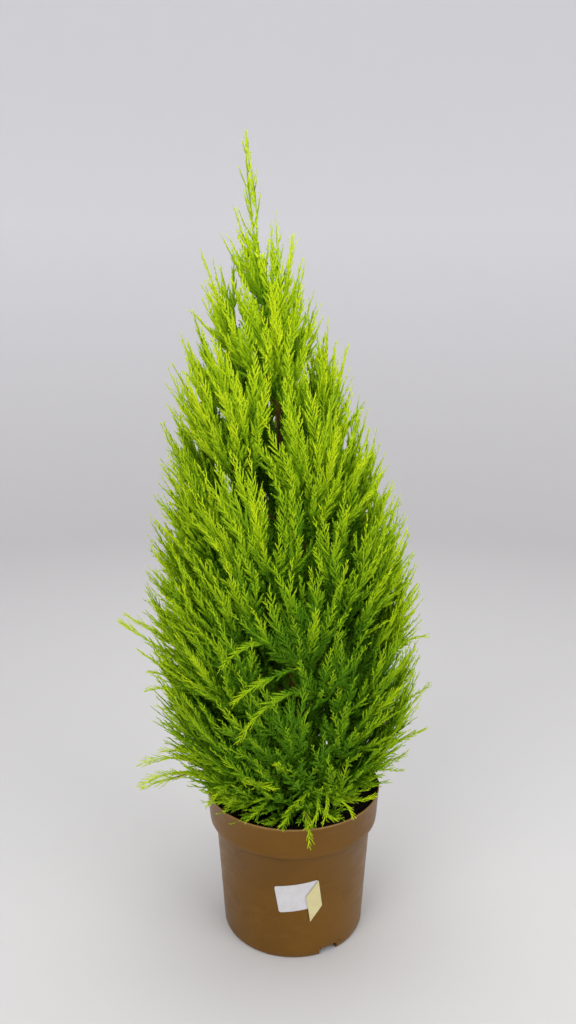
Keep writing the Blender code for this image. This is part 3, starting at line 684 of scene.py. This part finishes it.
def tubes(axes, rings):
    """Three-sided stems that end in a point: (points, faces)."""
    count = len(axes)
    shares = np.linspace(0, 1, rings + 1)
    corners = []
    for share in shares[:-1]:
        along = np.full(count, share)
        centre, heading = axes.at(along), axes.heading(along)
        side, other = across_headings(centre, heading)
        radius = (axes.foot + (axes.tip - axes.foot) * share)[:, None]
        for k in range(3):
            angle = 2 * math.pi * k / 3
            offset = side * math.cos(angle) + other * math.sin(angle)
            corners.append(centre + offset * radius)
    corners.append(axes.at(np.ones(count)))
    points = np.stack(corners, axis=1)
    pattern = []
    for ring in range(rings - 1):
        low, high = 3 * ring, 3 * ring + 3
        for k in range(3):
            m = (k + 1) % 3
            pattern += [(low + k, low + m, high + m), (low + k, high + m, high + k)]
    last = 3 * (rings - 1)
    pattern += [(last + k, last + (k + 1) % 3, 3 * rings) for k in range(3)]
    starts = np.arange(count)[:, None, None] * points.shape[1]
    return points.reshape(-1, 3), (np.array(pattern)[None] + starts).reshape(-1, 3)


def needles(axes, gap):
    """Awl-shaped needles along the stems, each one face, in pairs that turn by a right angle."""
    counts = np.maximum(2, (axes.lengths() / gap).astype(int))
    owner = np.repeat(np.arange(len(axes)), counts)
    order = np.arange(len(owner)) - np.repeat(np.cumsum(counts) - counts, counts)
    share = (order + 0.6) / counts[owner]
    bearer = axes.some(owner)
    root, heading = bearer.at(share), bearer.heading(share)
    side, other = across_headings(root, heading)
    roll = (order * 0.5 * np.pi + rng.uniform(-0.4, 0.4, len(owner)))[:, None]
    roll = roll + (order % 4 > 1)[:, None] * np.pi / 4
    away = side * np.cos(roll) + other * np.sin(roll)
    spread = np.radians(NEEDLE_SPREAD_DEG + rng.normal(0, 5, len(owner)))[:, None]
    along = heading * np.cos(spread) + away * np.sin(spread)
    wide = unit(np.cross(heading, away) + 0.6 * heading * rng.choice((-1, 1), (len(owner), 1)))
    wide *= 0.5 * NEEDLE_WIDTH * stoutness(root)[:, None]
    length = (NEEDLE_LENGTH * rng.uniform(0.75, 1.2, len(owner)))[:, None]
    points = np.stack([root + wide, root + along * length, root - wide], axis=1)
    return points.reshape(-1, 3), np.arange(3 * len(owner)).reshape(-1, 3)


def mesh_from(name, points, faces):
    mesh = bpy.data.meshes.new(name)
    mesh.vertices.add(len(points))
    mesh.vertices.foreach_set("co", np.ascontiguousarray(points, np.float32).ravel())
    mesh.loops.add(faces.size)
    mesh.loops.foreach_set("vertex_index", np.ascontiguousarray(faces, np.int32).ravel())
    mesh.polygons.add(len(faces))
    mesh.polygons.foreach_set("loop_start", np.arange(0, faces.size, 3, dtype=np.int32))
    mesh.update(calc_edges=True)
    return mesh


def put(name, mesh, look=None):
    made = bpy.data.objects.new(name, mesh)
    bpy.context.scene.collection.objects.link(made)
    if look:
        mesh.materials.clear()
        mesh.materials.append(look)
    return made


def put_shape(name, shape, look=None):
    mesh = bpy.data.meshes.new(name)
    shape.to_mesh(mesh)
    shape.free()
    return put(name, mesh, look)


def joined(parts):
    """One (points, faces) from several."""
    offset, points, faces = 0, [], []
    for some_points, some_faces in parts:
        points.append(some_points)
        faces.append(some_faces + offset)
        offset += len(some_points)
    return np.concatenate(points), np.concatenate(faces)


def foliage_piece(kind, shade, part, look, nodes):
    """One kind of foliage in one shade, in pieces that stay under the export's limit."""
    points, faces = part
    pieces = math.ceil(len(faces) / MOST_TRIANGLES)
    for number, some in enumerate(np.array_split(faces, pieces)):
        used, index = np.unique(some, return_inverse=True)
        name = f"{kind}_{shade}" + (f"_{number + 1}" if pieces > 1 else "")
        made = put(name, mesh_from(name, points[used], index.reshape(-1, 3)), look)
        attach(made, "root")
        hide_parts(*nodes)


def shade_of(axes):
    return np.clip(np.floor(axes.shade), 0, len(SHADES) - 1).astype(int)


# --- materials -----------------------------------------------------------------------------------


def plain(name, colour, roughness, specular):
    made = bpy.data.materials.new(name)
    made.use_nodes = True
    shader = made.node_tree.nodes["Principled BSDF"]
    shader.inputs["Base Color"].default_value = (*colour, 1.0)
    shader.inputs["Roughness"].default_value = roughness
    shader.inputs["Specular IOR Level"].default_value = specular
    return made


class Look:
    """A material under construction: short names for its nodes and links."""

    def __init__(self, name, roughness=0.5, specular=0.5):
        self.made = plain(name, (0.5, 0.5, 0.5), roughness, specular)
        self.tree = self.made.node_tree
        self.shader = self.tree.nodes["Principled BSDF"]
        self.place = self.tree.nodes.new("ShaderNodeTexCoord").outputs["Object"]

    def node(self, kind, inputs, **settings):
        node = self.tree.nodes.new(kind)
        for key, value in settings.items():
            setattr(node, key, value)
        for key, value in inputs.items():
            if isinstance(value, bpy.types.NodeSocket):
                self.tree.links.new(value, node.inputs[key])
            else:
                node.inputs[key].default_value = value
        return node

    def stretched(self, scale):
        return self.node("ShaderNodeMapping", {"Vector": self.place, "Scale": scale}).outputs[0]

    def noise(self, scale, detail=4, stretch=None, roughness=0.55):
        place = self.stretched(stretch) if stretch else self.place
        inputs = {"Vector": place, "Scale": scale, "Detail": detail, "Roughness": roughness}
        return self.node("ShaderNodeTexNoise", inputs).outputs["Fac"]

    def ramp(self, value, stops):
        node = self.node("ShaderNodeValToRGB", {"Fac": value})
        elements = node.color_ramp.elements
        while len(elements) < len(stops):
            elements.new(0.5)
        for element, (at, colour) in zip(elements, stops):
            element.position = at
            element.color = (*colour, 1)
        return node.outputs["Color"]

    def grey(self, value, low, high, start=0.0, end=1.0):
        inputs = {"Value": value, "From Min": start, "From Max": end}
        inputs |= {"To Min": low, "To Max": high}
        return self.node("ShaderNodeMapRange", inputs).outputs["Result"]

    def mix(self, share, one, two):
        inputs = {0: share}
        for key, colour in ((6, one), (7, two)):
            inputs[key] = (*colour, 1) if isinstance(colour, tuple) else colour
        return self.node("ShaderNodeMix", inputs, data_type="RGBA").outputs[2]

    def bump(self, height, strength, distance):
        inputs = {"Height": height, "Strength": strength, "Distance": distance}
        return self.node("ShaderNodeBump", inputs).outputs["Normal"]

    def height(self):
        return self.node("ShaderNodeSeparateXYZ", {"Vector": self.place}).outputs["Z"]

    def finish(self, colour=None, roughness=None, normal=None):
        for key, value in (("Base Color", colour), ("Roughness", roughness), ("Normal", normal)):
            if value is not None:
                self.tree.links.new(value, self.shader.inputs[key])
        return self.made


def bark_look():
    look = Look("bark", 0.8, 0.25)
    strips = look.noise(60, 6, stretch=(1, 1, 0.18))
    patches = look.noise(35, 3)
    colour = look.ramp(strips, ((0.30, (0.045, 0.024, 0.008)), (0.62, (0.280, 0.105, 0.034))))
    colour = look.mix(look.grey(patches, 0, 0.5, 0.45, 0.8), colour, (0.26, 0.15, 0.08))
    normal = look.bump(strips, 0.7, 0.0008)
    return look.finish(colour, look.grey(strips, 0.95, 0.7), normal)


def pot_look():
    """Bronze plastic: satin, with a film of dust, smudges and specks of soil, and a painted
    highlight along the lip.
    """
    look = Look("pot_plastic", 0.42, 0.22)
    look.shader.inputs["Metallic"].default_value = 0.4
    clouds = look.noise(9, 3)
    grain = look.noise(900, 2)
    film = look.noise(45, 5, stretch=(1, 1, 2.5))
    colour = look.ramp(clouds, ((0.30, (0.155, 0.070, 0.008)), (0.70, (0.205, 0.096, 0.013))))
    colour = look.mix(look.grey(film, 0, 0.30, 0.52, 0.75), colour, (0.24, 0.13, 0.04))
    smudges = look.noise(26, 4, roughness=0.7)
    colour = look.mix(look.grey(smudges, 0, 0.45, 0.62, 0.74), colour, (0.07, 0.033, 0.006))
    specks = look.noise(160, 2, roughness=0.8)
    colour = look.mix(look.grey(specks, 0, 0.85, 0.725, 0.75), colour, (0.02, 0.012, 0.006))
    # Painted highlight: the top few millimetres of the rim are painted lighter.
    painted_lip_highlight = look.grey(look.height(), 0, 0.45, POT_HEIGHT - 0.0030, POT_HEIGHT - 0.0008)
    colour = look.mix(painted_lip_highlight, colour, (0.44, 0.27, 0.11))
    rough = look.grey(film, 0.33, 0.50, 0.3, 0.8)
    return look.finish(colour, rough, look.bump(grain, 0.08, 0.0002))


def soil_look():
    look = Look("soil", 0.95, 0.2)
    crumbs = look.noise(420, 4)
    colour = look.ramp(crumbs, ((0.35, (0.004, 0.0025, 0.0015)), (0.75, (0.030, 0.017, 0.009))))
    return look.finish(colour, None, look.bump(crumbs, 0.8, 0.0012))


def paper_look(name, light, dark):
    look = Look(name, 0.55, 0.4)
    fibres = look.noise(700, 4, stretch=(1, 1, 3))
    clouds = look.noise(60, 2)
    colour = look.mix(look.grey(clouds, 0, 1, 0.35, 0.7), light, dark)
    rough = look.grey(fibres, 0.45, 0.65, 0.3, 0.7)
    return look.finish(colour, rough, look.bump(fibres, 0.15, 0.0001))


# --- bark, pot, soil and label -------------------------------------------------------------------


def bark_tube(centres, radii, sides, relief, lobes=None):
    """A limb with fissures along it: (points, faces)."""
    rings = len(centres)
    points = np.empty((rings, sides, 3))
    for i, centre in enumerate(centres):
        before, after = centres[max(0, i - 1)], centres[min(rings - 1, i + 1)]
        heading = Vector(after - before).normalized()
        side = heading.cross(Vector((0.3, 1, 0.1))).normalized()
        other = heading.cross(side)
        for k in range(sides):
            angle = 2 * math.pi * k / sides
            out = side * math.cos(angle) + other * math.sin(angle)
            near = Vector(centre) + out * radii[i]
            strip = noise.noise(Vector((out.x * 3, out.y * 3, near.z * 25))) ** 2
            flake = noise.noise(near * 300)
            swell = relief * radii[i] * (1.6 * strip + 0.35 * flake)
            if lobes:
                swell += radii[i] * lobes(centre[2], math.atan2(out.y, out.x))
            points[i, k] = near + out * swell
    faces = []
    for i in range(rings - 1):
        for k in range(sides):
            m = (k + 1) % sides
            a, b, c, d = i * sides + k, i * sides + m, (i + 1) * sides + m, (i + 1) * sides + k
            faces += [(a, b, c), (a, c, d)]
    top = (rings - 1) * sides
    faces += [(top, top + k, top + k + 1) for k in range(1, sides - 1)]
    return points.reshape(-1, 3), np.array(faces)


def make_bark(lines, nodes):
    shares = np.linspace(0, 1, 260) ** 1.3
    heights = SOIL_TOP - TRUNK_SUNK + (TRUNK_TOP + TRUNK_SUNK - SOIL_TOP) * shares

    def lobes(z, angle):
        share = flare(max(SOIL_TOP, z)) / trunk_radius(max(SOIL_TOP, z))
        return LOBE_SHARE * share * math.cos(FLARE_LOBES * angle)

    radii = [trunk_radius(max(SOIL_TOP, z)) for z in heights]
    parts = [bark_tube(trunk_points(heights), radii, 20, TRUNK_RELIEF, lobes)]
    for root, knee, tip in lines[:-1]:
        shares = np.linspace(0, BARE_SHARE, 40)[:, None]
        centres = root * (1 - shares) ** 2 + 2 * knee * shares * (1 - shares) + tip * shares**2
        reach = np.linalg.norm(np.diff(centres, axis=0), axis=1).sum() / BARE_SHARE
        foot = min(BOUGH_FOOT_RADIUS + BOUGH_SWELL * reach, MOST_OF_TRUNK * trunk_radius(root[2]))
        taper = ((0, foot), (BOUGH_SHARE, 0.5 * foot), (BARE_SHARE, BOUGH_TIP_RADIUS))
        parts.append(bark_tube(centres, between(taper, shares[:, 0]), 8, BOUGH_RELIEF))
    points, faces = joined(parts)
    made = put("bark", mesh_from("bark", points, faces), bark_look())
    made.data.shade_smooth()
    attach(made, "root")
    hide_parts(*nodes)


def lathe(name, profile, steps, look):
    shape = bmesh.new()
    rings = []
    for k in range(steps):
        angle = 2 * math.pi * k / steps
        ring = [
            shape.verts.new((r * math.cos(angle), r * math.sin(angle), z))
            for r, z in profile[1:-1]
        ]
        rings.append(ring)
    first = shape.verts.new((0, 0, profile[0][1]))
    last = shape.verts.new((0, 0, profile[-1][1]))
    for k in range(steps):
        here, there = rings[k], rings[(k + 1) % steps]
        shape.faces.new((first, here[0], there[0]))
        for a, b, c, d in zip(here, here[1:], there[1:], there):
            shape.faces.new((a, b, c, d))
        shape.faces.new((here[-1], last, there[-1]))
    bmesh.ops.recalc_face_normals(shape, faces=shape.faces)
    return put_shape(name, shape, look)


def wall_radius(z):
    return BASE_RADIUS + (BODY_TOP_RADIUS - BASE_RADIUS) * z / BAND_BOTTOM


def rounded(centre, radius, start_deg, end_deg, steps=5):
    """Points on an arc in the profile's plane."""
    angles = np.radians(np.linspace(start_deg, end_deg, steps))
    return [(centre[0] + radius * math.cos(a), centre[1] + radius * math.sin(a)) for a in angles]


def drain_cutter(number):
    """A block with rounded edges, which cuts one notch into the pot's foot."""
    azimuth = math.radians(FIRST_DRAIN_DEG + 360 * number / DRAIN_HOLES)
    shape = bmesh.new()
    bmesh.ops.create_cube(shape, size=1.0)
    bmesh.ops.scale(shape, vec=(DRAIN_DEPTH, DRAIN_WIDTH, 2 * DRAIN_HEIGHT), verts=shape.verts)
    level = [e for e in shape.edges if abs(e.verts[0].co.x - e.verts[1].co.x) > 0.01]
    bmesh.ops.bevel(shape, geom=level, offset=DRAIN_ROUND, segments=3, affect="EDGES")
    cutter = put_shape(f"drain_{number}", shape)
    out = Vector((math.cos(azimuth), math.sin(azimuth), 0))
    cutter.location = out * (BASE_RADIUS - 0.002)
    cutter.rotation_euler = (0, 0, azimuth)
    return cutter


def make_pot():
    inside = BAND_BOTTOM + POT_WALL
    profile = [
        (0, POT_FLOOR),
        (BASE_RADIUS - POT_WALL - BASE_ROUND, POT_FLOOR),
        (wall_radius(BASE_ROUND + POT_FLOOR) - POT_WALL, BASE_ROUND + POT_FLOOR),
        (BODY_TOP_RADIUS - POT_WALL, BAND_BOTTOM),
        (BAND_FOOT_RADIUS - POT_WALL, inside),
        *rounded((RIM_RADIUS - RIM_LIP, POT_HEIGHT - RIM_LIP), RIM_LIP, 180, 0, 7),
        (RIM_RADIUS - 0.0001, POT_HEIGHT - 0.0030),
        (RIM_RADIUS - 0.0006, POT_HEIGHT - 0.0042),
        (BAND_FOOT_RADIUS + 0.0010, BAND_BOTTOM + 0.008),
        (BAND_FOOT_RADIUS + 0.0002, BAND_BOTTOM + 0.0014),
        (BAND_FOOT_RADIUS - 0.0010, BAND_BOTTOM - 0.0004),
        (BODY_TOP_RADIUS + 0.0012, BAND_BOTTOM - 0.0016),
        (BODY_TOP_RADIUS, BAND_BOTTOM - 0.0032),
        (wall_radius(0.5 * BAND_BOTTOM), 0.5 * BAND_BOTTOM),
        (wall_radius(2.5 * BASE_ROUND), 2.5 * BASE_ROUND),
        (wall_radius(BASE_ROUND), BASE_ROUND),
        *rounded((BASE_RADIUS - BASE_ROUND, BASE_ROUND), BASE_ROUND, -15, -90, 5),
        (0, 0),
    ]
    pot = lathe("nursery_pot", profile, POT_STEPS, pot_look())
    cutters = [drain_cutter(k) for k in range(DRAIN_HOLES)]
    for cutter in cutters:
        modifier = pot.modifiers.new("Drain", "BOOLEAN")
        modifier.operation, modifier.solver, modifier.object = "DIFFERENCE", "EXACT", cutter
    bpy.context.view_layer.update()
    old = pot.data
    graph = bpy.context.evaluated_depsgraph_get()
    pot.data = bpy.data.meshes.new_from_object(pot.evaluated_get(graph))
    pot.modifiers.clear()
    bpy.data.meshes.remove(old)
    for cutter in cutters:
        bpy.data.objects.remove(cutter)
    pot.data.shade_smooth()
    pot.data.set_sharp_from_angle(angle=math.radians(50))
    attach(pot, "root")
    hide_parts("pot")


def make_soil():
    """Loose compost over the soil's flat top: a rough skin and crumbs that lie on it."""
    look = soil_look()
    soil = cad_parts["soil"]
    soil.data.materials.clear()
    soil.data.materials.append(look)
    edge = BAND_FOOT_RADIUS - POT_WALL + 0.0008
    rings, steps = SOIL_RINGS, SOIL_STEPS
    points = [(0, 0, SOIL_TOP + 0.002)]
    for i in range(1, rings + 1):
        for k in range(steps):
            angle = 2 * math.pi * (k + 0.5 * (i % 2)) / steps
            spot = Vector((math.cos(angle), math.sin(angle), 0)) * (edge * i / rings)
            height = 0.0018 * noise.fractal(spot * 60, 1.0, 2.1, 4) + 0.0008
            height += 0.003 * max(0, noise.noise(spot * 18))
            points.append((spot.x, spot.y, SOIL_TOP + (0.0002 if i == rings else height)))
    faces = [(0, 1 + k, 1 + (k + 1) % steps) for k in range(steps)]
    for i in range(rings - 1):
        for k in range(steps):
            a, b = 1 + i * steps + k, 1 + i * steps + (k + 1) % steps
            faces += [(a, a + steps, b + steps), (a, b + steps, b)]
    parts = [(np.array(points), np.array(faces))]
    shape = bmesh.new()
    bmesh.ops.create_icosphere(shape, subdivisions=1, radius=1.0)
    ball = np.array([tuple(v.co) for v in shape.verts])
    ball_faces = np.array([[v.index for v in f.verts] for f in shape.faces])
    shape.free()

    def add_lump(angle, out, up, size, flat=(1, 1, 1)):
        lump = ball * rng.uniform(0.6, 1.25, (len(ball), 1)) * size * flat
        parts.append((lump + (out * math.cos(angle), out * math.sin(angle), up), ball_faces))

    for _ in range(LUMPS):
        size = 0.0007 + 0.0024 * rng.random() ** 4
        out = (edge - 0.003) * math.sqrt(rng.random())
        angle = rng.uniform(0, 2 * math.pi)
        add_lump(angle, out, SOIL_TOP + 0.0015, size, FLATTER)
    for azimuth, *rest in STRAY_CRUMBS:
        add_lump(math.radians(azimuth), *rest)
    points, faces = joined(parts)
    made = put("soil_crumbs", mesh_from("soil_crumbs", points, faces), look)
    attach(made, "root")


def on_wall(across, up, stand_off):
    turn = math.radians(LABEL_TURN_DEG)
    along = across * math.cos(turn) - up * math.sin(turn)
    z = LABEL_CENTRE_Z + across * math.sin(turn) + up * math.cos(turn)
    azimuth = math.radians(LABEL_CENTRE_DEG) + along / wall_radius(LABEL_CENTRE_Z)
    radius = wall_radius(z) + stand_off
    return Vector((radius * math.cos(azimuth), radius * math.sin(azimuth), z))


def sheet_piece(name, outline, lift, look, node):
    """A thin sheet over the pot's wall, inside a closed outline of (across, up) points."""
    shape = bmesh.new()
    shape.faces.new([shape.verts.new((x, y, 0)) for x, y in outline])
    for k in range(1, BENDS):
        at = LABEL_WIDTH * k / BENDS - 0.5 * LABEL_WIDTH
        every = [*shape.verts, *shape.edges, *shape.faces]
        bmesh.ops.bisect_plane(shape, geom=every, plane_co=(at, 0, 0), plane_no=(1, 0, 0))
    for vertex in shape.verts:
        vertex.co = on_wall(vertex.co.x, vertex.co.y, lift)
    bmesh.ops.recalc_face_normals(shape, faces=shape.faces)
    made = put_shape(name, shape, look)
    solid = made.modifiers.new("Thickness", "SOLIDIFY")
    solid.thickness = PAPER_THICKNESS
    solid.offset = 0
    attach(made, "root")
    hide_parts(node)


def make_label():
    wide, high, corner = 0.5 * LABEL_WIDTH, 0.5 * LABEL_HEIGHT, LABEL_CORNER
    outline = []
    for x, y, start in ((1, 1, 0), (-1, 1, 90), (-1, -1, 180), (1, -1, 270)):
        centre = (x * (wide - corner), y * (high - corner))
        outline += rounded(centre, corner, start, start + 90, 5)
    white = paper_look("label_paper", (0.64, 0.63, 0.64), (0.56, 0.55, 0.55))
    sheet_piece("sticker", outline, LABEL_LIFT, white, "label")
    cream = paper_look("flap_paper", (0.66, 0.59, 0.31), (0.59, 0.52, 0.26))
    flap = [
        (wide - FLAP_WIDTH, -high - FLAP_DROP),
        (wide, -high),
        (wide, high),
        (wide - FLAP_WIDTH, high - FLAP_DROP),
    ]
    sheet_piece("flap", flap, FLAP_LIFT, cream, "label_flap")


# --- studio --------------------------------------------------------------------------------------


BOWL_FLOOR = 2.2  # radius
BOWL_BEND = 1.6
BOWL_HEIGHT = 3.0
WASH_HEIGHT = 1.3  # over which the paper turns paler
LIT_PLACE = (0, 0, 0.5)
LIGHTS = (  # name, place, side of the square, watts
    ("key", (-1.1, -1.9, 2.0), 1.4, 28),
    ("fill", (1.6, -1.5, 1.5), 1.6, 22),
    ("top", (0.0, 0.3, 2.6), 1.6, 20),
)
WORLD_COLOUR = (0.93, 0.93, 0.96, 1)
WORLD_STRENGTH = 0.72
EYE = (-0.0069, -1.027, 0.782)  # fitted to the ruler's marks and the pot's rims
EYE_DOWN_DEG = 12.2
LENS_MM = 29.88
SENSOR_MM = 36


def area_light(name, place, size, power):
    light = bpy.data.lights.new(name, "AREA")
    light.size = size
    light.energy = power
    made = bpy.data.objects.new(name, light)
    made.location = place
    made.rotation_euler = (Vector(LIT_PLACE) - Vector(place)).to_track_quat("-Z", "Y").to_euler()
    bpy.context.scene.collection.objects.link(made)


def studio_look():
    """Pale matt paper, a little darker underfoot, where the lights are strongest."""
    look = Look("studio_floor", 0.8, 0.2)
    wash = look.grey(look.height(), 0, 1, 0.0, WASH_HEIGHT)
    return look.finish(look.mix(wash, (0.62, 0.61, 0.605), (0.85, 0.845, 0.865)))


def make_studio():
    scene = bpy.context.scene
    scene.view_settings.view_transform = "Standard"
    world = bpy.data.worlds.new("studio")
    world.use_nodes = True
    background = world.node_tree.nodes["Background"]
    background.inputs["Color"].default_value = WORLD_COLOUR
    background.inputs["Strength"].default_value = WORLD_STRENGTH
    scene.world = world
    profile = [(0, 0), *rounded((BOWL_FLOOR, BOWL_BEND), BOWL_BEND, -90, 0, 24)]
    profile += [(BOWL_FLOOR + BOWL_BEND, BOWL_HEIGHT), (0, BOWL_HEIGHT)]
    bowl = lathe("studio_floor", profile, 96, studio_look())
    bowl.data.shade_smooth()
    shape = bmesh.new()
    shape.from_mesh(bowl.data)
    lid = [f for f in shape.faces if all(v.co.z > BOWL_HEIGHT - 0.01 for v in f.verts)]
    bmesh.ops.delete(shape, geom=lid, context="FACES")
    shape.to_mesh(bowl.data)
    shape.free()
    for light in LIGHTS:
        area_light(*light)


def make_camera():
    camera = bpy.data.cameras.new("camera")
    camera.sensor_width = SENSOR_MM
    camera.lens = LENS_MM
    made = bpy.data.objects.new("camera", camera)
    made.location = EYE
    made.rotation_euler = (math.radians(90 - EYE_DOWN_DEG), 0, 0)
    bpy.context.scene.collection.objects.link(made)
    bpy.context.scene.camera = made


def main():
    lines = crown_lines()
    masses = [f"plume_{i + 1:02d}" for i in range(PLUMES)] + ["leader"]
    limbs = ["trunk"] + [f"bough_{i + 1:02d}" for i in range(PLUMES_ON_BOUGHS)]
    make_bark(lines, limbs)
    bearers = line_axes(lines)
    shoots, spire = shoot_axes(bearers), spire_axes()
    twigs = together(twig_axes(shoots), twig_axes(spire, SPIRE_TWIG_GAP, SPIRE_TWIGS))
    threads = thread_axes(twigs)
    shoots = together(shoots, spire)
    shoots.shade = shoots.shade + STEM_SHADE
    for level, (shade, colour) in enumerate(SHADES):
        look = plain(f"foliage_{shade}", colour, 0.65, 0.12)
        stems = [(shoots, 4), (twigs, 2 if level else 1), (threads, 1)]  # with their rings
        parts = [tubes(a.some(shade_of(a) == level), rings) for a, rings in stems]
        foliage_piece("twigs", shade, joined(parts), look, masses)
        part = needles(twigs.some(shade_of(twigs) == level), NEEDLE_GAP)
        foliage_piece("needles", shade, part, look, masses)
    make_pot()
    make_soil()
    make_label()
    make_studio()
    make_camera()


main()
